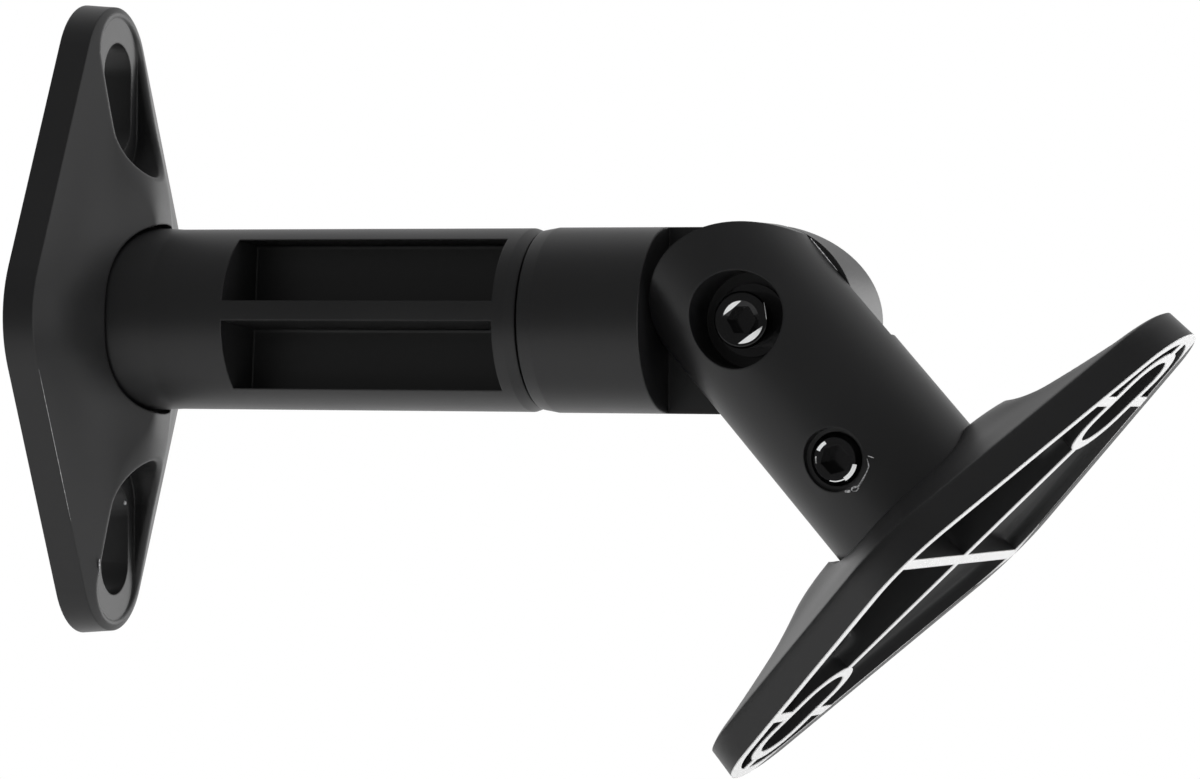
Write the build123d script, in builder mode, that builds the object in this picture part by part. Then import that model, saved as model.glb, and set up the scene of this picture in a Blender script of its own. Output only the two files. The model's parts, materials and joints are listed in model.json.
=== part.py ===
from build123d import *
from math import asin, atan2, cos, hypot, radians, sin
import os

# Speaker wall bracket in black moulded plastic, in millimetres.
# The origin is the middle of the wall plate's back face. X runs out of the wall along the arm,
# Z is up, and Y runs through the bracket from the side that is looked at to the hidden side.

# Plates, nearly the same moulding at both ends: the speaker's is a little shorter
wall_plate_length = 100.0
wall_slot_offset = 35.2
wall_slot_length = 17.4
speaker_plate_length = 97.8
speaker_slot_offset = 34.45
speaker_slot_length = 16.9
plate_width = 60.0
plate_tip_radius = 11.6
plate_side_radius = 17.4
edge_height = 4.9
edge_draft = 0.4
dome_foot_height = 5.8
dome_foot_inset = 2.5
dome_mid_height = 8.6
dome_mid_length = 67.5
dome_mid_width = 0.683 * plate_width
dome_mid_tip_radius = 9.0
dome_mid_side_radius = 14.0
dome_top_height = 11.9
dome_top_length = 47.0
dome_top_width = 0.317 * plate_width
dome_top_tip_radius = 5.5
dome_top_side_radius = 8.0
dome_crown_height = 13.6
dome_crown_length = 29.0
dome_crown_width = 0.183 * plate_width
dome_crown_tip_radius = 3.0
dome_crown_side_radius = 4.0
skin = 2.6
rim_land = 2.0
rib_thickness = 2.0
slot_width = 10.0
recess_margin = 4.0
recess_width = 14.4
recess_rim_radius = 0.0145 * plate_width
ledge_height = 5.15
boss_wall = 2.0

# Round joint that repeats along the arm: a spigot in a blind bore, held by a set screw
seat_height = 9.6
seat_gap = 0.5
spigot_radius = 9.0
spigot_length = 16.5
spigot_lead = 0.8
bore_play = 0.06
bore_spare_depth = 0.5
screw_from_seat = 12.2
groove_width = 6.2
groove_depth = 1.5
face_play = 0.1

# Set screws of the round joints
set_screw_radius = 4.0
set_screw_sink = 1.3
set_screw_edge = 0.7
set_screw_point_radius = 2.8
set_screw_point_play = 0.05
thread_play = 0.05
key_size = 4.0
key_depth = 3.0
mouth_radius = 4.8
mouth_depth = 2.2
screw_turn = 5.0

# Arm tube. The round pieces that carry its line on take their radii from it.
arm_radius = 14.2
foot_radius = arm_radius + 0.35
foot_flare = 7.5
tube_end = 78.1
tube_end_bevel = 1.7
tube_end_drop = 0.6
tube_turn = 4.9
pocket_start = 29.6
pocket_end = 74.5
pocket_half_height = 11.6
pocket_rib = 3.1
pocket_web = 2.0
pocket_corner = 0.6
set_screw_face = arm_radius - set_screw_sink
mouth_floor = arm_radius - mouth_depth

# Swivel neck
neck_gap = 0.4
neck_radius = arm_radius + 0.1
neck_lead = 2.3
neck_lead_drop = 0.4

# Tilt pivot
pivot_x = 113.3
knuckle_radius = arm_radius + 0.65
lap_gap = 0.3
shoulder_gap = 0.25
shoulder_x = pivot_x - knuckle_radius - shoulder_gap
pivot_hole_play = 0.08
head_recess_radius = 7.4
head_seat = 4.4
pivot_screw_radius = 2.5
pivot_screw_short = 0.3
pivot_head_radius = 4.35
pivot_head_height = 5.0
pivot_key_depth = 2.8
key_mouth_radius = 2.9
key_mouth_depth = 0.5
head_edge = 0.5
washer_radius = 5.6
washer_thickness = 1.0
nut_size = 8.0
nut_thickness = 4.7
nut_floor = neck_radius - 8.1
nut_play = 0.06

# Tilt arm and the speaker plate at its end
arm_tilt = 48.5
arm_reach = 47.8
arm_root_radius = arm_radius - 0.35
arm_end_radius = arm_radius
plate_cant = 2.35

# Frames. Each looks along a piece's own axis.
wall_frame = Plane(origin=(0, 0, 0), x_dir=(0, 1, 0), z_dir=(1, 0, 0))
neck_start = tube_end + neck_gap
tube_across = Vector(0, cos(radians(tube_turn)), -sin(radians(tube_turn)))
tube_frame = Plane(origin=(0, 0, 0), x_dir=tube_across, z_dir=(1, 0, 0))
arm_direction = Vector(cos(radians(arm_tilt)), 0, -sin(radians(arm_tilt)))
pivot_point = Vector(pivot_x, 0, 0)
arm_frame = Plane(origin=pivot_point, x_dir=(0, 1, 0), z_dir=arm_direction)
plate_tilt = radians(arm_tilt - plate_cant)
plate_normal = Vector(-cos(plate_tilt), 0, sin(plate_tilt))
plate_upward = Vector(sin(plate_tilt), 0, cos(plate_tilt))
speaker_frame = Plane(origin=pivot_point + arm_direction * arm_reach, x_dir=(0, -1, 0), z_dir=plate_normal)
root_screw_frame = Plane(origin=(seat_height + screw_from_seat, 0, 0), x_dir=(1, 0, 0), z_dir=(0, 1, 0))
neck_screw_frame = Plane(origin=(neck_start + screw_from_seat, 0, 0), x_dir=(1, 0, 0), z_dir=(0, 1, 0))
plate_screw_middle = speaker_frame.origin + plate_normal * (seat_height + face_play + screw_from_seat)
plate_screw_way = Vector(0, -cos(radians(screw_turn)), 0) - plate_upward * sin(radians(screw_turn))
plate_screw_frame = Plane(origin=plate_screw_middle, x_dir=plate_normal, z_dir=plate_screw_way)


def rhombus(plane, half_length, half_width, tip_radius, side_radius):
    """A rhombus on a plane, its four corners rounded by arcs that run into its straight sides."""
    tip_middle = half_length - tip_radius
    side_middle = half_width - side_radius
    spread = hypot(tip_middle, side_middle)
    turn = atan2(side_middle, tip_middle) + asin((side_radius - tip_radius) / spread)
    tip_x = tip_radius * cos(turn)
    tip_y = tip_middle + tip_radius * sin(turn)
    side_x = side_middle + side_radius * cos(turn)
    side_y = side_radius * sin(turn)
    with BuildSketch(plane) as sketch:
        with BuildLine():
            ThreePointArc((-tip_x, tip_y), (0, half_length), (tip_x, tip_y))
            Line((tip_x, tip_y), (side_x, side_y))
            ThreePointArc((side_x, side_y), (half_width, 0), (side_x, -side_y))
            Line((side_x, -side_y), (tip_x, -tip_y))
            ThreePointArc((tip_x, -tip_y), (0, -half_length), (-tip_x, -tip_y))
            Line((-tip_x, -tip_y), (-side_x, -side_y))
            ThreePointArc((-side_x, -side_y), (-half_width, 0), (-side_x, side_y))
            Line((-side_x, side_y), (-tip_x, tip_y))
        make_face()
    return sketch.sketch


def plate_outline(plane, length, inset):
    """The outline of a plate of a given length on a plane, drawn in by an inset."""
    return rhombus(
        plane,
        length / 2 - inset,
        plate_width / 2 - inset,
        plate_tip_radius - inset,
        plate_side_radius - inset,
    )


def dome_top_outline(plane):
    """The outline of the dome near its top on a plane."""
    return rhombus(
        plane,
        dome_top_length / 2,
        dome_top_width / 2,
        dome_top_tip_radius,
        dome_top_side_radius,
    )


def plate_hollow(length, slot_offset, slot_length):
    """The hollow in a plate's back: the cells that its rim, ribs and slot bosses leave open."""
    hollow_edge = edge_height - skin
    with BuildPart(mode=Mode.PRIVATE) as hollow:
        add(plate_outline(wall_frame, length, rim_land))
        add(plate_outline(wall_frame.offset(hollow_edge), length, rim_land + edge_draft))
        loft(ruled=True)
        add(plate_outline(wall_frame.offset(hollow_edge), length, rim_land + edge_draft))
        add(dome_top_outline(wall_frame.offset(dome_top_height - skin)))
        loft(ruled=True)
        with BuildSketch(wall_frame):
            Rectangle(rib_thickness, length)
            Rectangle(plate_width, rib_thickness)
            with Locations((0, slot_offset), (0, -slot_offset)):
                Rectangle(plate_width, rib_thickness)
        extrude(amount=dome_top_height, mode=Mode.SUBTRACT)
        with BuildSketch(wall_frame):
            with Locations((0, slot_offset), (0, -slot_offset)):
                SlotOverall(slot_length + 2 * boss_wall, slot_width + 2 * boss_wall, rotation=90)
        extrude(amount=dome_top_height, mode=Mode.SUBTRACT)
        recess_length = slot_length + 2 * recess_margin
        with BuildSketch(wall_frame.offset(ledge_height - boss_wall)):
            with Locations((0, slot_offset), (0, -slot_offset)):
                SlotOverall(recess_length + 2 * boss_wall, recess_width + 2 * boss_wall, rotation=90)
        extrude(amount=dome_top_height, mode=Mode.SUBTRACT)
        with BuildSketch(wall_frame.offset(seat_height - skin)):
            Circle(foot_radius + seat_gap)
        extrude(amount=dome_top_height, mode=Mode.SUBTRACT)
    return hollow.part


def plate_blank(length, slot_offset, slot_length):
    """A plate with its back on the wall: an edge band, a dome with a round seat and a spigot on
    top, two slots in long recesses for the fixing screws' heads, and the ribbed hollow behind."""
    with BuildPart(mode=Mode.PRIVATE) as blank:
        add(plate_outline(wall_frame, length, 0))
        add(plate_outline(wall_frame.offset(edge_height), length, edge_draft))
        loft(ruled=True)
        add(plate_outline(wall_frame.offset(edge_height), length, edge_draft))
        add(plate_outline(wall_frame.offset(dome_foot_height), length, dome_foot_inset))
        add(
            rhombus(
                wall_frame.offset(dome_mid_height),
                dome_mid_length / 2,
                dome_mid_width / 2,
                dome_mid_tip_radius,
                dome_mid_side_radius,
            )
        )
        add(dome_top_outline(wall_frame.offset(dome_top_height)))
        add(
            rhombus(
                wall_frame.offset(dome_crown_height),
                dome_crown_length / 2,
                dome_crown_width / 2,
                dome_crown_tip_radius,
                dome_crown_side_radius,
            )
        )
        loft()
        with BuildSketch(wall_frame.offset(ledge_height)):
            with Locations((0, slot_offset), (0, -slot_offset)):
                SlotOverall(slot_length + 2 * recess_margin, recess_width, rotation=90)
        extrude(amount=dome_top_height, mode=Mode.SUBTRACT)
        cut_edges = edges(Select.LAST).filter_by(Axis.X, reverse=True)
        fillet(cut_edges.filter_by(lambda edge: edge.bounding_box().min.X > ledge_height), recess_rim_radius)
        with BuildSketch(wall_frame):
            with Locations((0, slot_offset), (0, -slot_offset)):
                SlotOverall(slot_length, slot_width, rotation=90)
        extrude(amount=dome_top_height, mode=Mode.SUBTRACT)
        with BuildSketch(wall_frame.offset(seat_height)):
            Circle(foot_radius + seat_gap)
        extrude(amount=dome_top_height, mode=Mode.SUBTRACT)
        add(plate_hollow(length, slot_offset, slot_length), mode=Mode.SUBTRACT)
        with BuildSketch(wall_frame.offset(seat_height)):
            Circle(spigot_radius)
        extrude(amount=spigot_length)
        chamfer(faces().sort_by(Axis.X)[-1].edges(), spigot_lead)
    return blank.part


# Wall plate. Its spigot has a round dimple for the screw's point, so the tube can't turn on it.
with BuildPart() as wall_plate:
    add(plate_blank(wall_plate_length, wall_slot_offset, wall_slot_length))
    with BuildSketch(root_screw_frame.offset(spigot_radius - groove_depth)):
        Circle(set_screw_point_radius + thread_play)
    extrude(amount=spigot_radius, mode=Mode.SUBTRACT)

# Speaker plate, with a groove turned round its spigot
with BuildPart() as speaker_plate:
    speaker_blank = plate_blank(speaker_plate_length, speaker_slot_offset, speaker_slot_length)
    add(speaker_blank.moved(speaker_frame.location * wall_frame.location.inverse()))
    groove_start = seat_height + face_play + screw_from_seat - groove_width / 2
    with BuildSketch(speaker_frame.offset(groove_start)):
        Circle(spigot_radius + bore_play)
        Circle(spigot_radius - groove_depth, mode=Mode.SUBTRACT)
    extrude(amount=groove_width, mode=Mode.SUBTRACT)

# Arm tube: a turned outside with a flared foot, a bevelled end and a spindle, a bore in its foot,
# and four long pockets that leave a cross of webs inside
with BuildPart() as arm_tube:
    spindle_end = neck_start + spigot_length
    with BuildSketch(Plane.XZ):
        with BuildLine():
            Polyline(
                (seat_height, 0),
                (seat_height, foot_radius),
                (seat_height + foot_flare, arm_radius),
                (tube_end - tube_end_bevel, arm_radius),
                (tube_end, arm_radius - tube_end_drop),
                (tube_end, spigot_radius),
                (spindle_end - spigot_lead, spigot_radius),
                (spindle_end, spigot_radius - spigot_lead),
                (spindle_end, 0),
                close=True,
            )
        make_face()
    revolve(axis=Axis.X)
    with BuildSketch(wall_frame.offset(seat_height)):
        Circle(spigot_radius + bore_play)
    extrude(amount=spigot_length + bore_spare_depth, mode=Mode.SUBTRACT)
    with BuildSketch(wall_frame.offset(neck_start + screw_from_seat - groove_width / 2)):
        Circle(spigot_radius + bore_play)
        Circle(spigot_radius - groove_depth, mode=Mode.SUBTRACT)
    extrude(amount=groove_width, mode=Mode.SUBTRACT)
    pocket_height = pocket_half_height - pocket_rib / 2
    pocket_middle = pocket_rib / 2 + pocket_height / 2
    pocket_depth = arm_radius
    pocket_side = pocket_web / 2 + pocket_depth / 2
    with BuildSketch(tube_frame.offset(pocket_start)):
        with Locations(
            (pocket_side, pocket_middle),
            (-pocket_side, pocket_middle),
            (pocket_side, -pocket_middle),
            (-pocket_side, -pocket_middle),
        ):
            RectangleRounded(pocket_depth, pocket_height, pocket_corner)
    extrude(amount=pocket_end - pocket_start, mode=Mode.SUBTRACT)
    with BuildSketch(root_screw_frame):
        Circle(set_screw_radius + thread_play)
    extrude(amount=foot_radius, mode=Mode.SUBTRACT)
    with BuildSketch(root_screw_frame.offset(mouth_floor)):
        Circle(mouth_radius)
    extrude(amount=foot_radius, mode=Mode.SUBTRACT)

# Swivel neck: a bored cylinder that ends in a flat shoulder, with the far half of a lap joint
with BuildPart() as swivel_neck:
    neck_end = pivot_x + knuckle_radius
    with BuildSketch(Plane.XZ):
        with BuildLine():
            Polyline(
                (neck_start, 0),
                (neck_start, neck_radius - neck_lead_drop),
                (neck_start + neck_lead, neck_radius),
                (neck_end, neck_radius),
                (neck_end, 0),
                close=True,
            )
        make_face()
    revolve(axis=Axis.X)
    with BuildSketch(Plane.XZ.offset(-2 * neck_radius)):
        with Locations((neck_start, 0)):
            Rectangle(pivot_x - neck_start, 3 * neck_radius, align=(Align.MIN, Align.CENTER))
        with Locations((pivot_x, 0)):
            Circle(knuckle_radius)
    extrude(amount=4 * neck_radius, mode=Mode.INTERSECT)
    with BuildSketch(Plane.XZ.offset(-lap_gap / 2)):
        with Locations((shoulder_x, 0)):
            Rectangle(2 * neck_radius + knuckle_radius, 3 * neck_radius, align=(Align.MIN, Align.CENTER))
    extrude(amount=2 * neck_radius, mode=Mode.SUBTRACT)
    with BuildSketch(wall_frame.offset(neck_start)):
        Circle(spigot_radius + bore_play)
    extrude(amount=spigot_length + bore_spare_depth, mode=Mode.SUBTRACT)
    with BuildSketch(Plane.XZ):
        with Locations((pivot_x, 0)):
            Circle(pivot_screw_radius + pivot_hole_play)
    extrude(amount=-2 * neck_radius, mode=Mode.SUBTRACT)
    with BuildSketch(Plane.XZ.offset(-nut_floor)):
        with Locations((pivot_x, 0)):
            RegularPolygon(nut_size / 2 + nut_play, 6, major_radius=False)
    extrude(amount=-2 * neck_radius, mode=Mode.SUBTRACT)
    with BuildSketch(neck_screw_frame):
        Circle(set_screw_radius + thread_play)
    extrude(amount=2 * neck_radius, mode=Mode.SUBTRACT)
    with BuildSketch(neck_screw_frame.offset(mouth_floor)):
        Circle(mouth_radius)
    extrude(amount=neck_radius, mode=Mode.SUBTRACT)

# Tilt arm: the near half of the lap joint with a deep round recess for the pivot screw, then a
# full cylinder that widens a little to its end, where it takes the speaker plate's spigot
with BuildPart() as tilt_arm:
    arm_end = arm_reach - seat_height
    lap_length = knuckle_radius + shoulder_gap
    with BuildSketch(arm_frame.offset(-knuckle_radius - lap_gap)):
        Circle(arm_root_radius)
    with BuildSketch(arm_frame.offset(arm_end + spigot_radius)):
        Circle(arm_end_radius)
    loft()
    with BuildSketch(arm_frame.offset(-2 * knuckle_radius)):
        with Locations((-lap_gap / 2, 0)):
            Rectangle(3 * arm_radius, 3 * arm_radius, align=(Align.MIN, Align.CENTER))
    extrude(amount=2 * knuckle_radius + lap_length, mode=Mode.SUBTRACT)
    with BuildSketch(Plane.XZ.offset(-2 * arm_radius)):
        with Locations((pivot_x, 0)):
            Circle(knuckle_radius)
            with Locations(Rotation(0, 0, -arm_tilt)):
                Rectangle(2 * arm_reach, 3 * arm_radius, align=(Align.MIN, Align.CENTER))
    extrude(amount=4 * arm_radius, mode=Mode.INTERSECT)
    split(bisect_by=speaker_frame.offset(seat_height + face_play), keep=Keep.TOP)
    with BuildSketch(speaker_frame.offset(seat_height + face_play)):
        Circle(spigot_radius + bore_play)
    extrude(amount=spigot_length + bore_spare_depth, mode=Mode.SUBTRACT)
    with BuildSketch(Plane.XZ):
        with Locations((pivot_x, 0)):
            Circle(pivot_screw_radius + pivot_hole_play)
    extrude(amount=2 * arm_radius, mode=Mode.SUBTRACT)
    with BuildSketch(Plane.XZ.offset(head_seat)):
        with Locations((pivot_x, 0)):
            Circle(head_recess_radius)
    extrude(amount=2 * arm_radius, mode=Mode.SUBTRACT)
    with BuildSketch(plate_screw_frame):
        Circle(set_screw_radius + thread_play)
    extrude(amount=2 * arm_radius, mode=Mode.SUBTRACT)
    with BuildSketch(plate_screw_frame.offset(mouth_floor)):
        Circle(mouth_radius)
    extrude(amount=arm_radius, mode=Mode.SUBTRACT)

# Pivot screw: a socket cap screw across the lap joint
with BuildPart() as pivot_screw:
    head_floor = head_seat + washer_thickness
    with BuildSketch(Plane.XZ.offset(head_floor)):
        with Locations((pivot_x, 0)):
            Circle(pivot_screw_radius)
    extrude(amount=-(head_floor + nut_floor + nut_thickness - pivot_screw_short))
    with BuildSketch(Plane.XZ.offset(head_floor)):
        with Locations((pivot_x, 0)):
            Circle(pivot_head_radius)
    extrude(amount=pivot_head_height)
    fillet(faces().sort_by(Axis.Y)[0].edges(), head_edge)
    with BuildSketch(Plane.XZ.offset(head_floor + pivot_head_height - pivot_key_depth)):
        with Locations((pivot_x, 0)):
            RegularPolygon(key_size / 2, 6, major_radius=False)
    extrude(amount=2 * pivot_key_depth, mode=Mode.SUBTRACT)
    with BuildSketch(Plane.XZ.offset(head_floor + pivot_head_height)):
        with Locations((pivot_x, 0)):
            Circle(key_mouth_radius)
    with BuildSketch(Plane.XZ.offset(head_floor + pivot_head_height - key_mouth_depth)):
        with Locations((pivot_x, 0)):
            Circle(key_size / 2)
    loft(mode=Mode.SUBTRACT)

# Washer under the pivot screw's head
with BuildPart() as pivot_washer:
    with BuildSketch(Plane.XZ.offset(head_seat)):
        with Locations((pivot_x, 0)):
            Circle(washer_radius)
            Circle(pivot_screw_radius + pivot_hole_play, mode=Mode.SUBTRACT)
    extrude(amount=washer_thickness)

# Nut held in the back of the neck's lap
with BuildPart() as pivot_nut:
    with BuildSketch(Plane.XZ.offset(-nut_floor)):
        with Locations((pivot_x, 0)):
            RegularPolygon(nut_size / 2, 6, major_radius=False)
            Circle(pivot_screw_radius + thread_play, mode=Mode.SUBTRACT)
    extrude(amount=-nut_thickness)

# Set screw with a plain point, drawn standing on the middle of its joint
with BuildPart() as set_screw_blank:
    point_end = spigot_radius - groove_depth + set_screw_point_play
    thread_start = spigot_radius + bore_play
    with BuildSketch(Plane.XY.offset(point_end)):
        Circle(set_screw_point_radius)
    extrude(amount=set_screw_face - point_end)
    with BuildSketch(Plane.XY.offset(thread_start)):
        Circle(set_screw_radius)
    extrude(amount=set_screw_face - thread_start)
    chamfer(faces().sort_by(Axis.Z)[-1].edges(), set_screw_edge)
    with BuildSketch(Plane.XY.offset(set_screw_face - key_depth)):
        RegularPolygon(key_size / 2, 6, major_radius=False)
    extrude(amount=2 * key_depth, mode=Mode.SUBTRACT)

# The three set screws: at the tube's foot, in the neck and at the speaker plate
with BuildPart() as foot_set_screw:
    add(set_screw_blank.part.moved(root_screw_frame.location))

with BuildPart() as neck_set_screw:
    add(set_screw_blank.part.moved(neck_screw_frame.location))

with BuildPart() as plate_set_screw:
    add(set_screw_blank.part.moved(plate_screw_frame.location))

# Write each piece
os.makedirs("parts", exist_ok=True)
wall_plate.part.label = "wall_plate"
export_step(wall_plate.part, "parts/wall_plate.step")
arm_tube.part.label = "arm_tube"
export_step(arm_tube.part, "parts/arm_tube.step")
swivel_neck.part.label = "swivel_neck"
export_step(swivel_neck.part, "parts/swivel_neck.step")
tilt_arm.part.label = "tilt_arm"
export_step(tilt_arm.part, "parts/tilt_arm.step")
speaker_plate.part.label = "speaker_plate"
export_step(speaker_plate.part, "parts/speaker_plate.step")
pivot_screw.part.label = "pivot_screw"
export_step(pivot_screw.part, "parts/pivot_screw.step")
pivot_washer.part.label = "pivot_washer"
export_step(pivot_washer.part, "parts/pivot_washer.step")
pivot_nut.part.label = "pivot_nut"
export_step(pivot_nut.part, "parts/pivot_nut.step")
foot_set_screw.part.label = "foot_set_screw"
export_step(foot_set_screw.part, "parts/foot_set_screw.step")
neck_set_screw.part.label = "neck_set_screw"
export_step(neck_set_screw.part, "parts/neck_set_screw.step")
plate_set_screw.part.label = "plate_set_screw"
export_step(plate_set_screw.part, "parts/plate_set_screw.step")
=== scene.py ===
# %% [markdown]
# # A black speaker wall bracket
# This lesson dresses a finished model. The pieces come from a CAD program at their real size, so
# nothing is modelled twice here: the lesson sets the camera, builds a small photo studio, gives
# every piece its finish, and adds the few moulding flaws that are too small for the CAD model,
# with painted glints on two screws and painted highlights on the speaker plate's lands and two
# edges.

# %% Load the model
import json
from math import cos, radians, sin

import bmesh
import bpy
from mathutils import Matrix, Vector


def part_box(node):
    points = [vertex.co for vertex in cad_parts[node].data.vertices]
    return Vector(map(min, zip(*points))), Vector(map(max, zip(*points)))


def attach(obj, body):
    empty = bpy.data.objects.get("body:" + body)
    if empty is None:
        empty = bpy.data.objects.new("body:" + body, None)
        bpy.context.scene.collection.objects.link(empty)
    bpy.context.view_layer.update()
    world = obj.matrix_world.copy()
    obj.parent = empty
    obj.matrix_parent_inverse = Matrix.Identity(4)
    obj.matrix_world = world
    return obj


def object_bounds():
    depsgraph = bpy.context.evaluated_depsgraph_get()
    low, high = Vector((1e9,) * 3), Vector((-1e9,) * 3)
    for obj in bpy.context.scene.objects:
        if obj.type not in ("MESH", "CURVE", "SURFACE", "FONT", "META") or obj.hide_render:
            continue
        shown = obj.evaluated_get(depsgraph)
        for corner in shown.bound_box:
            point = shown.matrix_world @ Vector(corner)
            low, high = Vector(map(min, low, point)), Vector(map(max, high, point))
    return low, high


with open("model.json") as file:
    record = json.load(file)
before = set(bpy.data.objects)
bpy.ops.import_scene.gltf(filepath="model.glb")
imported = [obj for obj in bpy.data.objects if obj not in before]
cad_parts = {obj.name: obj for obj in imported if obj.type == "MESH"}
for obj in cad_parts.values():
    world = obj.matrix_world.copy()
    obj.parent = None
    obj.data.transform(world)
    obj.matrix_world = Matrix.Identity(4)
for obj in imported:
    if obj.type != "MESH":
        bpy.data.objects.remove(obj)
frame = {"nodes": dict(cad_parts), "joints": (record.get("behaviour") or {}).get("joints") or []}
cad_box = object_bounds()
print("pieces:", sorted(frame["nodes"]))
print("box of the model:", [[round(value, 4) for value in corner] for corner in cad_box])

# %% [markdown]
# ## Camera
# The bracket was photographed almost level, from the side, with a long lens. An aim point, a
# distance and three angles say that more clearly than a rotation in Euler angles would, and they
# can be changed one at a time. The camera's matrix is then built from its three axes.

# %% Camera
photo_width = 1200
focal_pixels = 5231.83
sensor_width = 36.0
aim = Vector((0.087133, 0.0, -0.010646))
distance = 0.804763
side_angle = radians(19.932)
lift_angle = radians(-0.048)
lean_angle = radians(0.403)

level_right = Vector((cos(side_angle), sin(side_angle), 0.0))
forward = Vector(
    (-sin(side_angle) * cos(lift_angle), cos(side_angle) * cos(lift_angle), sin(lift_angle))
)
level_up = level_right.cross(forward)
right = level_right * cos(lean_angle) + level_up * sin(lean_angle)
up = level_up * cos(lean_angle) - level_right * sin(lean_angle)

camera_data = bpy.data.cameras.new("camera")
camera_data.sensor_width = sensor_width
camera_data.lens = focal_pixels / photo_width * sensor_width
camera = bpy.data.objects.new("camera", camera_data)
turned = Matrix((right, up, -forward)).transposed().to_4x4()
camera.matrix_world = Matrix.Translation(aim - forward * distance) @ turned
bpy.context.scene.collection.objects.link(camera)
bpy.context.scene.camera = camera
bpy.context.scene.view_settings.view_transform = "Standard"
camera_place = [round(value, 3) for value in camera.location]
print("lens", round(camera_data.lens, 1), "mm, camera at", camera_place)

# %% [markdown]
# ## Node helpers
# Shader maths reads best as ordinary arithmetic. A wire is one socket, and adding or multiplying
# wires adds the Math nodes for it. A graph adds every other kind of node through one method: its
# settings come first, because some of them change which sockets the node has. The nodes that
# several finishes share have short names of their own.


# %% Wires and graphs
class Wire:
    """One output socket. Arithmetic on it adds Math nodes to its graph."""

    def __init__(self, graph, socket):
        self.graph = graph
        self.socket = socket

    def math(self, operation, first, second):
        node = self.graph.add("ShaderNodeMath", {"operation": operation}, {0: first, 1: second})
        return Wire(self.graph, node.outputs[0])

    def __add__(self, other):
        return self.math("ADD", self, other)

    __radd__ = __add__

    def __sub__(self, other):
        return self.math("SUBTRACT", self, other)

    def __rsub__(self, other):
        return self.math("SUBTRACT", other, self)

    def __mul__(self, other):
        return self.math("MULTIPLY", self, other)

    __rmul__ = __mul__

    def __lt__(self, other):
        return self.math("LESS_THAN", self, other)

    def __or__(self, other):
        return self.math("MAXIMUM", self, other)


class Graph:
    """A node tree, emptied, that nodes are added to."""

    def __init__(self, tree):
        self.tree = tree
        tree.nodes.clear()

    def add(self, kind, settings=None, inputs=None):
        node = self.tree.nodes.new(kind)
        for name, value in (settings or {}).items():
            setattr(node, name, value)
        for name, value in (inputs or {}).items():
            if isinstance(value, Wire):
                self.tree.links.new(value.socket, node.inputs[name])
            else:
                node.inputs[name].default_value = value
        return node

    def wire(self, kind, output, settings=None, inputs=None):
        """The same, for a node of which one output is wanted."""
        return Wire(self, self.add(kind, settings, inputs).outputs[output])

    def ramp(self, value, low, high):
        """0 at low, 1 at high and smooth between."""
        settings = {"interpolation_type": "SMOOTHSTEP"}
        inputs = {"Value": value, 1: low, 2: high}
        return self.wire("ShaderNodeMapRange", "Result", settings, inputs)

    def reach(self, offset, way):
        """How far an offset goes along a direction."""
        settings = {"operation": "DOT_PRODUCT"}
        return self.wire("ShaderNodeVectorMath", "Value", settings, {0: offset, 1: way})

    def blend(self, factor, first, second):
        """One colour where the factor is 0, another where it is 1."""
        settings = {"data_type": "RGBA"}
        return self.wire("ShaderNodeMix", 2, settings, {0: factor, 6: first, 7: second})

    def noise(self, place, scale, detail):
        """Soft random spots, of which a metre holds about as many as the scale."""
        inputs = {"Vector": place, "Scale": scale, "Detail": detail}
        return self.wire("ShaderNodeTexNoise", "Fac", None, inputs)

    def rounding(self, radius, samples):
        """The surface's direction, with edges rounded over a radius."""
        return self.wire("ShaderNodeBevel", "Normal", {"samples": samples}, {"Radius": radius})

    def surface(self, inputs):
        """End a material in one Principled shader."""
        shader = self.wire("ShaderNodeBsdfPrincipled", 0, None, inputs)
        self.add("ShaderNodeOutputMaterial", None, {"Surface": shader})


def new_material(name):
    material = bpy.data.materials.new(name)
    material.use_nodes = True
    return material, Graph(material.node_tree)


print("helpers: Wire and Graph")

# %% [markdown]
# ## Studio
# A black object on white is lit by what it mirrors. Behind the bracket stands white paper, and
# its reflection runs pale along every edge that turns away. Before it is a dim room, so the faces
# that look at the camera stay dark. The world does both: white behind, a little dimmer high up, and
# grey in front. The camera sees white all round, because the paper fills its view.

# %% White paper behind, dim room in front
room_grey = 0.22
dim_above = 0.5
behind_range = (-0.15, 0.5)
above_range = (0.0, 0.6)
world = bpy.data.worlds.new("studio")
world.use_nodes = True
bpy.context.scene.world = world
graph = Graph(world.node_tree)
direction = graph.wire("ShaderNodeTexCoord", "Generated")
parts = graph.add("ShaderNodeSeparateXYZ", None, {"Vector": direction})
behind = graph.ramp(Wire(graph, parts.outputs["Y"]), *behind_range)
above = graph.ramp(Wire(graph, parts.outputs["Z"]), *above_range)
light_path = graph.add("ShaderNodeLightPath")
camera_ray = Wire(graph, light_path.outputs["Is Camera Ray"])
glass_ray = Wire(graph, light_path.outputs["Is Transmission Ray"])
paper = camera_ray | glass_ray | behind * (1.0 - dim_above * above)
strength = room_grey + (1.0 - room_grey) * paper
white_paper = {"Color": (1.0, 1.0, 1.0, 1.0), "Strength": strength}
background = graph.wire("ShaderNodeBackground", 0, None, white_paper)
graph.add("ShaderNodeOutputWorld", None, {"Surface": background})
print("the room in front is", room_grey, "of the paper's white")

# %% Soft boxes
lit_point = (0.08, 0.0, -0.01)


def soft_box(name, place, width, height, power, mirrored=True):
    """A rectangular lamp that faces the bracket. Unmirrored, it only lights matt surfaces."""
    data = bpy.data.lights.new(name, "AREA")
    data.shape = "RECTANGLE"
    data.size = width
    data.size_y = height
    data.energy = power
    lamp = bpy.data.objects.new(name, data)
    away = Vector(place) - Vector(lit_point)
    turned = away.to_track_quat("Z", "Y").to_matrix().to_4x4()
    lamp.matrix_world = Matrix.Translation(place) @ turned
    lamp.visible_glossy = mirrored
    bpy.context.scene.collection.objects.link(lamp)


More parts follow.
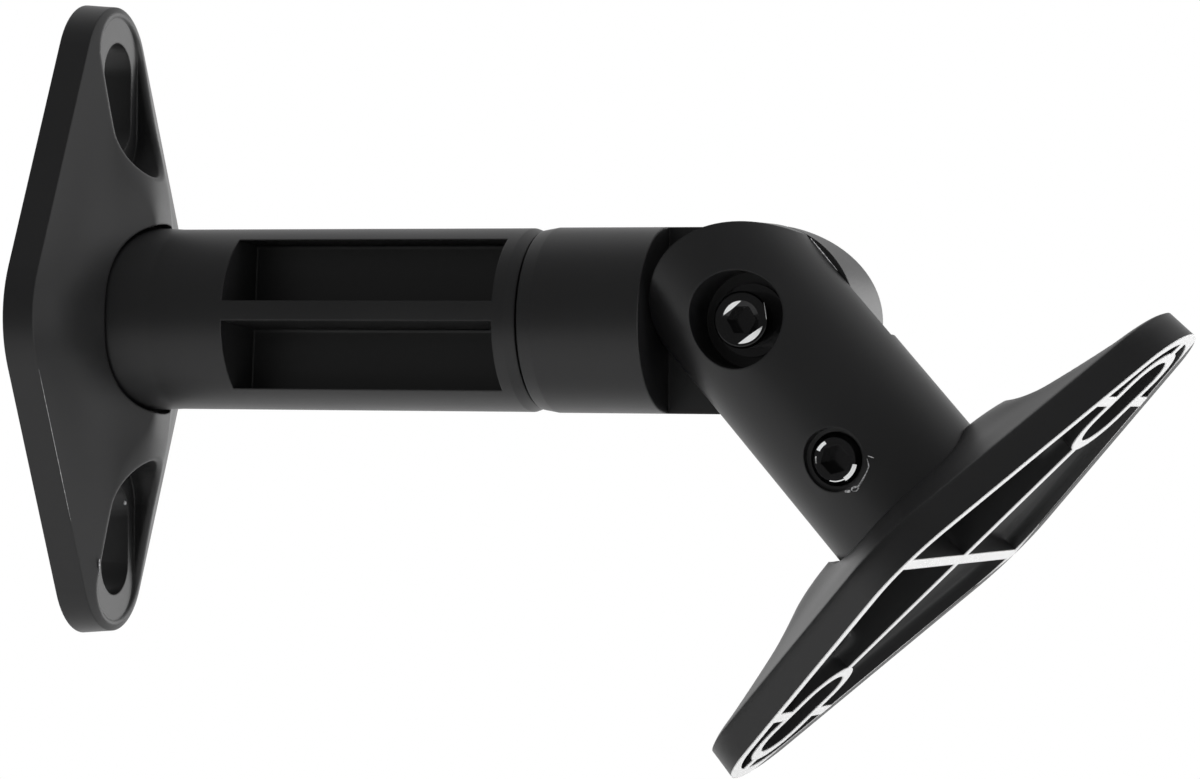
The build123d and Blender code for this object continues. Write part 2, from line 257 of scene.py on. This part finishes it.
soft_box("soft_box_top", (0.10, 0.10, 0.90), width=0.9, height=0.6, power=7.0, mirrored=False)
soft_box("soft_box_right", (1.0, -0.10, -0.05), width=0.4, height=0.4, power=2.4)
soft_box("soft_box_back", (0.55, 1.00, -0.05), width=0.5, height=0.7, power=2.0)

# %% [markdown]
# ## Floor
# The bracket hangs on a wall in use, so it doesn't touch the floor: the floor lies a little below
# its lowest point. A round pale sheet is enough, and it carries the soft shadow that other views
# show. It is just too small to reach into the photograph's frame, where white paper fills the view.

# %% Floor
floor_drop = 0.05
floor_radius = 0.55
floor_height = cad_box[0][2] - floor_drop
mesh = bpy.data.meshes.new("floor")
builder = bmesh.new()
bmesh.ops.create_circle(builder, cap_ends=True, segments=96, radius=floor_radius)
bmesh.ops.translate(builder, verts=builder.verts, vec=(aim.x, 0.0, floor_height))
builder.to_mesh(mesh)
builder.free()
floor = bpy.data.objects.new("floor", mesh)
bpy.context.scene.collection.objects.link(floor)

paper_grey = (0.86, 0.86, 0.86, 1.0)
paper_white = (0.9, 0.9, 0.9, 1.0)
material, graph = new_material("floor_paper")
place = graph.wire("ShaderNodeTexCoord", "Object")
fibre = graph.noise(place, scale=40.0, detail=4.0)
tone = graph.blend(fibre, paper_grey, paper_white)
graph.surface({"Base Color": tone, "Roughness": 0.7, "Specular IOR Level": 0.2})
mesh.materials.append(material)
print("floor at", round(floor_height, 4))

# %% [markdown]
# ## Moulded plastic
# The five mouldings are one plastic: black, satin, with the very fine sand texture that the mould
# gives. A texture that small is far cheaper as a bump than as geometry. Two noises make it, one
# for the grain and one for the slow change of gloss where the melt flowed. Moulded edges are never
# sharp, so a Bevel node rounds the shading by less than half a millimetre, which draws the thin
# bright line along each edge.

# %% Plastic
plastic_dark = (0.009, 0.009, 0.0095, 1.0)
plastic_pale = (0.013, 0.013, 0.0135, 1.0)
plastic_roughness = 0.40
grain_roughness = 0.08
flow_roughness = 0.10
grain_height = 0.00002
grain_strength = 0.25
edge_rounding = 0.0004
# Painted highlight: the white and the lower roughness that the speaker plate's lands get, standing
# in for the glare they mirror.
land_painted_highlight = (0.93, 0.93, 0.93, 1.0)
land_highlight_gloss = 0.14


def plastic(name, land=None):
    """Black moulded plastic. A land says where the plate's lands begin, which get a painted
    highlight.
    """
    material, graph = new_material(name)
    place = graph.wire("ShaderNodeTexCoord", "Object")
    grain = graph.noise(place, scale=4200.0, detail=2.0)
    flow = graph.noise(place, scale=45.0, detail=3.0)
    colour = graph.blend(flow, plastic_dark, plastic_pale)
    roughness = (
        plastic_roughness + grain_roughness * (grain - 0.5) + flow_roughness * (flow - 0.5)
    )
    height = grain
    rounded = graph.rounding(edge_rounding, samples=4)
    if land:
        settings = {"operation": "SUBTRACT"}
        inputs = {0: place, 1: land["centre"]}
        offset = graph.wire("ShaderNodeVectorMath", "Vector", settings, inputs)
        level = graph.reach(offset, land["inward"])
        painted_highlight_mask = level < land["depth"]
        for way in land["far_ways"]:
            painted_highlight_mask = painted_highlight_mask * (graph.reach(offset, way) < land["far_reach"])
        # The lands get a painted highlight: white and glossier where the mask finds land.
        colour = graph.blend(painted_highlight_mask, colour, land_painted_highlight)
        roughness = roughness - land_highlight_gloss * painted_highlight_mask
        height = grain * (1.0 - painted_highlight_mask)
        soft = graph.rounding(land["crease_rounding"], samples=8)
        at_crease = graph.ramp(level, *land["crease_levels"])
        settings = {"data_type": "VECTOR"}
        inputs = {0: at_crease, 4: rounded, 5: soft}
        rounded = graph.wire("ShaderNodeMix", 1, settings, inputs)
    bumps = {"Height": height, "Distance": grain_height, "Strength": grain_strength}
    normal = graph.wire("ShaderNodeBump", "Normal", None, bumps | {"Normal": rounded})
    graph.surface({"Base Color": colour, "Roughness": roughness, "IOR": 1.5, "Normal": normal})
    return material


black_plastic = plastic("moulded_plastic")
print("finish:", black_plastic.name)

# %% [markdown]
# ## Painted highlight on the speaker plate's lands
# The rim, the ribs and the slots' bosses of the speaker plate end in one plane, the face that
# meets the speaker. Those narrow lands show bright white and the cells between them black, though
# the plate is one black plastic: the white is a painted highlight for the glare that the flat lands
# mirror. Painting faces one by one would be slow and would break when the plate changes. A
# mask does it in one step: whatever lies within an eighth of a millimetre of that plane is land.
# The rim's far side is dark in the photograph, so the mask ends at two lines along it. The crease
# between the plate's edge and its dome, a known depth under that plane, gets a wider rounding than
# the other edges.

# %% Lands and their painted highlight
plate_joint = next(joint for joint in frame["joints"] if joint["name"] == "plate_turn")
face_centre = Vector(plate_joint["pos_m"])
face_inward = -Vector(plate_joint["axis"]).normalized()
face_across = Vector((0.0, 1.0, 0.0))
face_upward = face_inward.cross(face_across).normalized()
side_lean = radians(27.1)
far_ways = [
    face_across * cos(side_lean) + face_upward * (sin(side_lean) * turn) for turn in (1, -1)
]
speaker_land = {
    "centre": face_centre,
    "inward": face_inward,
    "depth": 0.00012,
    "far_ways": far_ways,
    "far_reach": 0.0266,
    "crease_rounding": 0.0030,
    "crease_levels": (0.0010, 0.0032),
}
land_highlight_plastic = plastic("moulded_plastic_land_highlights", speaker_land)
print("lands face", [round(-value, 3) for value in face_inward])

# %% [markdown]
# ## Black steel
# The screws, the washer and the nut are steel, oiled black and glossy, so they flash white where
# the plastic only glows. The finish is a dark metal under a clear coat, with fine turning marks as
# a bump and a slow stain in its colour and roughness. The coat keeps the highlight sharp while the
# metal under it stays soft.

# %% Steel
steel_dark = (0.006, 0.006, 0.0065, 1.0)
steel_pale = (0.016, 0.016, 0.017, 1.0)
steel_roughness = 0.16
stain_roughness = 0.12
steel_rounding = 0.00018
mark_height = 0.00001
mark_strength = 0.15

black_steel, graph = new_material("black_steel")
place = graph.wire("ShaderNodeTexCoord", "Object")
marks = graph.noise(place, scale=2600.0, detail=3.0)
stain = graph.noise(place, scale=320.0, detail=2.0)
rounded = graph.rounding(steel_rounding, samples=4)
bumps = {"Height": marks, "Distance": mark_height, "Strength": mark_strength}
graph.surface(
    {
        "Base Color": graph.blend(stain, steel_dark, steel_pale),
        "Metallic": 0.85,
        "Roughness": steel_roughness + stain_roughness * stain,
        "Coat Weight": 0.5,
        "Coat Roughness": 0.06,
        "Normal": graph.wire("ShaderNodeBump", "Normal", None, bumps | {"Normal": rounded}),
    }
)
print("finish:", black_steel.name)

# %% [markdown]
# ## Dress the pieces
# A CAD piece keeps its mesh, and only its material slots change. Steel goes on whatever is a
# screw, a washer or a nut, the plastic with the painted land highlight goes on the speaker plate,
# and plain plastic on the rest.

# %% Dress
steel_words = ("screw", "washer", "nut")
for name, piece in sorted(frame["nodes"].items()):
    finish = black_plastic
    if any(word in name for word in steel_words):
        finish = black_steel
    if name == "speaker_plate":
        finish = land_highlight_plastic
    if not piece.data.materials:
        piece.data.materials.append(finish)
    for slot in piece.material_slots:
        slot.material = finish
    print(name, "is", finish.name, "with", len(piece.data.polygons), "faces")

# %% [markdown]
# ## Painted glints on the screws
# A few edges of the two screws that face the camera flash white. The flashes are painted glints:
# strips of bright bare steel on tiny slopes, set where the glints fall, because a slope mirrors
# the bright floor or the side lamp, while the flat face mirrors only the dim room. An edge is spun
# round the screw's axis into a strip of a shallow cone. A cut along a chord makes the strip a
# crescent.

# %% Painted glints: bright bare steel
# Painted glint: bright bare-steel colours for the strips set where the screws flash white.
glint_grey = (0.72, 0.73, 0.74, 1.0)
glint_white = (0.93, 0.93, 0.92, 1.0)
glint_roughness = 0.12
scratch_roughness = 0.14

glint_steel, graph = new_material("glint_steel")
place = graph.wire("ShaderNodeTexCoord", "Object")
scratches = graph.noise(place, scale=3800.0, detail=3.0)
colour = graph.blend(scratches, glint_grey, glint_white)
roughness = glint_roughness + scratch_roughness * scratches
graph.surface({"Base Color": colour, "Metallic": 1.0, "Roughness": roughness})
print("finish:", glint_steel.name)


# %% A strip of a cone round a screw's axis
def screw_place(centre, outward):
    """The matrix of a screw's face: its own x to the right, y up and z out of the face."""
    out = Vector(outward).normalized()
    across = Vector((0.0, 0.0, 1.0)).cross(out).normalized()
    turned = Matrix((across, out.cross(across), out)).transposed().to_4x4()
    return Matrix.Translation(centre) @ turned


def glint_strip(name, body, face, inner, outer, start, sweep, chord=None):
    """A painted glint: a strip of bright steel between two rings. A ring is its radius and its
    height over the screw's face.
    """
    sunk = 0.00006
    steps = 16
    hub = (0.0, 0.0, 0.0)
    builder = bmesh.new()
    rim = [builder.verts.new((ring[0], 0.0, ring[1])) for ring in (inner, outer)]
    line = builder.edges.new(rim)
    turn = {"cent": hub, "axis": (0.0, 0.0, 1.0), "angle": radians(sweep), "steps": steps}
    bmesh.ops.spin(builder, geom=rim + [line], **turn)
    spun = Matrix.Rotation(radians(start), 3, "Z")
    bmesh.ops.rotate(builder, verts=builder.verts, cent=hub, matrix=spun)
    if chord:
        heading = radians(start + sweep / 2)
        facing = Vector((cos(heading), sin(heading), 0.0))
        strip = builder.verts[:] + builder.edges[:] + builder.faces[:]
        cut = {"plane_co": facing * chord, "plane_no": facing, "clear_inner": True}
        bmesh.ops.bisect_plane(builder, geom=strip, **cut)
    grown = bmesh.ops.extrude_face_region(builder, geom=builder.faces[:])
    moved = [part for part in grown["geom"] if isinstance(part, bmesh.types.BMVert)]
    depth = -sunk - abs(inner[1] - outer[1])
    bmesh.ops.translate(builder, verts=moved, vec=(0.0, 0.0, depth))
    bmesh.ops.transform(builder, matrix=face, verts=builder.verts)
    bmesh.ops.recalc_face_normals(builder, faces=builder.faces)
    mesh = bpy.data.meshes.new(name)
    builder.to_mesh(mesh)
    builder.free()
    mesh.materials.append(glint_steel)
    piece = bpy.data.objects.new(name, mesh)
    bpy.context.scene.collection.objects.link(piece)
    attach(piece, body)
    print(name, "has", len(mesh.polygons), "faces")


# %% The pivot screw's painted glints
pivot_joint = next(joint for joint in frame["joints"] if joint["name"] == "tilt")
head_face = Vector((0.0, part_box("pivot_screw")[0][1], 0.0))
pivot_face = screw_place(Vector(pivot_joint["pos_m"]) + head_face, (0.0, -1.0, 0.0))
# Each glint has its inner ring, its outer ring, its start and sweep in degrees, and its chord.
pivot_glints = {
    "pivot_mark_low": ((0.0026, 0.00036), (0.0036, 0.00002), -95.5, 80.0, 0.00275),
    "pivot_mark_key": ((0.00205, -0.00043), (0.00286, 0.00001), 88.0, 80.0, 0.0022),
}
for name, strip in pivot_glints.items():
    glint_strip(name, "neck", pivot_face, *strip)

# %% The plate's set screw's painted glints
lock_centre = (0.12899, -0.01285, -0.02079)
lock_outward = (-0.0629, -0.9962, -0.0604)
lock_face = screw_place(lock_centre, lock_outward)
# These keep the whole strip, so they have no chord.
lock_glints = {
    "lock_mark_low": ((0.0030, 0.00019), (0.0036, -0.00002), -62.0, 50.0),
    "lock_mark_tail": ((0.00318, 0.00008), (0.00336, 0.00002), -104.0, 44.0),
    "lock_mark_high": ((0.00262, 0.00002), (0.0031, 0.00024), 118.0, 35.0),
    "lock_mark_side": ((0.0029, 0.00002), (0.00305, 0.0001), 172.0, 20.0),
}
for name, strip in lock_glints.items():
    glint_strip(name, "tilting_arm", lock_face, *strip)

# %% [markdown]
# ## Moulding flaws and painted edge highlights
# Where the mould's halves meet, a thread of plastic can stay on an edge, torn and pale. There is
# one round the lower right of the set screw's mouth, with a short hair beside it, a torn flake on
# the lower recess's rim, and a speck of dust inside that recess. On two moulded edges, the wall
# plate's and the lap's, a light line of the same pale plastic is a painted highlight, where the
# rounded edge catches the light. Such a thread has no sharp corners, so a curve with a round bevel
# gives it, thinner at its ends than in its middle.

# %% Torn plastic, also used for the painted edge highlights
# The pale thread colour is real torn plastic on the flaws, and a painted highlight on the two edge
# lines.
torn_and_highlight_grey = (0.30, 0.30, 0.31, 1.0)
torn_and_highlight_white = (0.85, 0.85, 0.86, 1.0)
torn_roughness = 0.35
fray_roughness = 0.2
fray_range = (0.35, 0.65)
fray_height = 0.00003
fray_strength = 0.3

torn_plastic_and_highlight, graph = new_material("torn_plastic_and_highlight")
place = graph.wire("ShaderNodeTexCoord", "Object")
fray = graph.noise(place, scale=2400.0, detail=3.0)
colour = graph.blend(graph.ramp(fray, *fray_range), torn_and_highlight_grey, torn_and_highlight_white)
roughness = torn_roughness + fray_roughness * fray
bumps = {"Height": fray, "Distance": fray_height, "Strength": fray_strength}
normal = graph.wire("ShaderNodeBump", "Normal", None, bumps)
graph.surface({"Base Color": colour, "Roughness": roughness, "Normal": normal})
print("finish:", torn_plastic_and_highlight.name)

# %% A thread of torn plastic or of painted highlight
metre = 1000.0


def thread(name, body, thickness, points, finish=torn_plastic_and_highlight):
    """A thread through points in millimetres: each is x, y, z and a share of the thickness."""
    data = bpy.data.curves.new(name, "CURVE")
    data.dimensions = "3D"
    data.bevel_depth = thickness / 2
    data.bevel_resolution = 3
    data.resolution_u = 6
    data.use_fill_caps = True
    spline = data.splines.new("NURBS")
    spline.points.add(len(points) - 1)
    for point, (x, y, z, share) in zip(spline.points, points):
        point.co = (x / metre, y / metre, z / metre, 1.0)
        point.radius = share
    spline.order_u = 3
    spline.use_endpoint_u = True
    data.materials.append(finish)
    piece = bpy.data.objects.new(name, data)
    bpy.context.scene.collection.objects.link(piece)
    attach(piece, body)
    print(name, "runs through", len(points), "points")


# %% Flaws at the set screw's mouth
thread(
    "mouth_thread",
    "tilting_arm",
    0.00026,
    [
        (134.37, -13.96, -20.6, 0.3),
        (134.76, -14.02, -21.59, 0.8),
        (134.52, -14.08, -22.3, 0.5),
        (133.86, -14.12, -23.58, 1.0),
        (133.27, -14.08, -24.54, 1.2),
        (132.9, -14.0, -24.9, 1.0),
    ],
)
thread(
    "mouth_loop",
    "tilting_arm",
    0.00026,
    [
        (133.1, -14.05, -24.75, 1.0),
        (132.35, -13.97, -24.8, 1.3),
        (131.9, -13.9, -25.2, 0.7),
        (132.3, -13.9, -25.5, 0.4),
        (132.95, -13.98, -25.35, 0.7),
        (133.15, -14.03, -24.9, 1.0),
    ],
)
thread(
    "mouth_flake",
    "tilting_arm",
    0.0004,
    [(131.8, -13.8, -25.45, 0.9), (131.35, -13.72, -25.5, 1.2), (130.95, -13.64, -25.51, 0.9)],
)
thread(
    "mouth_hair",
    "tilting_arm",
    0.0002,
    [(134.49, -13.88, -20.2, 0.6), (134.95, -13.86, -20.32, 1.0), (135.4, -13.79, -20.49, 0.5)],
)

# %% A painted glint: a thin bright steel thread on the pivot screw's rim
glint_rim_points = [(117.42, -10.5, 0.1, 0.3), (117.32, -10.6, 1.2, 1.0), (117.0, -10.5, 2.6, 0.3)]
thread("pivot_glint_rim", "neck", 0.00032, glint_rim_points, glint_steel)

# %% Flaws at the wall plate's lower recess
thread(
    "recess_speck",
    "wall_side",
    0.0005,
    [(4.9, 4.3, -29.0, 0.6), (4.9, 4.25, -29.35, 1.0), (4.95, 4.2, -29.65, 0.6)],
)
thread(
    "recess_flake",
    "wall_side",
    0.0003,
    [
        (6.75, -8.9, -37.9, 0.4),
        (6.55, -8.6, -38.5, 0.9),
        (6.5, -8.45, -39.2, 0.7),
        (6.2, -7.9, -39.8, 0.5),
        (6.3, -8.2, -40.4, 0.3),
    ],
)

# %% Painted highlights: light lines on two moulded edges
thread(
    "plate_edge_highlight",
    "wall_side",
    0.0001,
    [
        (4.93, -28.92, -3.6, 0.2),
        (4.93, -28.3, -6.2, 0.6),
        (4.93, -26.4, -10.1, 0.9),
        (4.93, -23.5, -15.98, 1.0),
        (4.93, -20.55, -21.9, 1.1),
        (4.93, -17.3, -28.5, 1.0),
        (4.93, -14.1, -34.8, 0.3),
    ],
)
thread(
    "lap_edge_highlight",
    "tilting_arm",
    0.0002,
    [
        (120.95, -0.12, 12.5, 0.6),
        (122.2, -0.12, 11.07, 1.0),
        (123.4, -0.12, 9.7, 1.0),
        (125.2, -0.12, 7.65, 0.5),
    ],
)

# %% [markdown]
# ## Finish
# The dressed model must stay in the box of the CAD model, which is printed after loading.

# %% Finish
print("finished")
